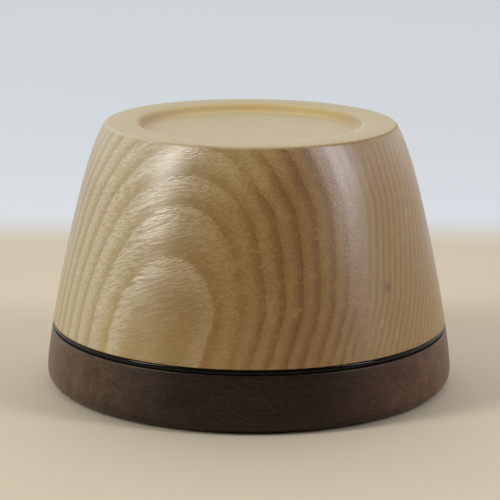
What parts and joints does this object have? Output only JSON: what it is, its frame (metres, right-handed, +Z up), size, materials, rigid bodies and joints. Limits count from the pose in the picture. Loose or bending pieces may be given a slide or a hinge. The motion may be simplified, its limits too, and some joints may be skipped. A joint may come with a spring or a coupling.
{
  "type": "wooden money box",
  "caption": "Turned ash money box tapering up from a pull-off walnut base with a black accent ring; shallow dish in the top and a coin slot through the back.",
  "frame": {"origin": "centre of the walnut base's underside, on the turning axis, in the plane of the foot", "axes": "+Z up the turning axis towards the dished top; -Y is the front; the coin slot is through the back wall, at +Y; +X to the right seen from the front"},
  "size_m": [0.12, 0.12, 0.0772],
  "materials": {
    "ash": "satin lacquered face-grain ash, bold growth rings",
    "ebonised_wood": "black, polished",
    "walnut": "satin oiled dark walnut, fine pores",
    "black_rubber": "matte black"
  },
  "bodies": {
    "base": {"walnut_base": "walnut", "o_ring": "black_rubber", "black_ring": "ebonised_wood"},
    "body": {"ash_body": "ash"}
  },
  "joints": [
    {"name": "body_lift", "type": "slide", "parent": "base", "child": "body", "axis": [0, 0, 1], "range_m": [0, 0.025]}
  ]
}
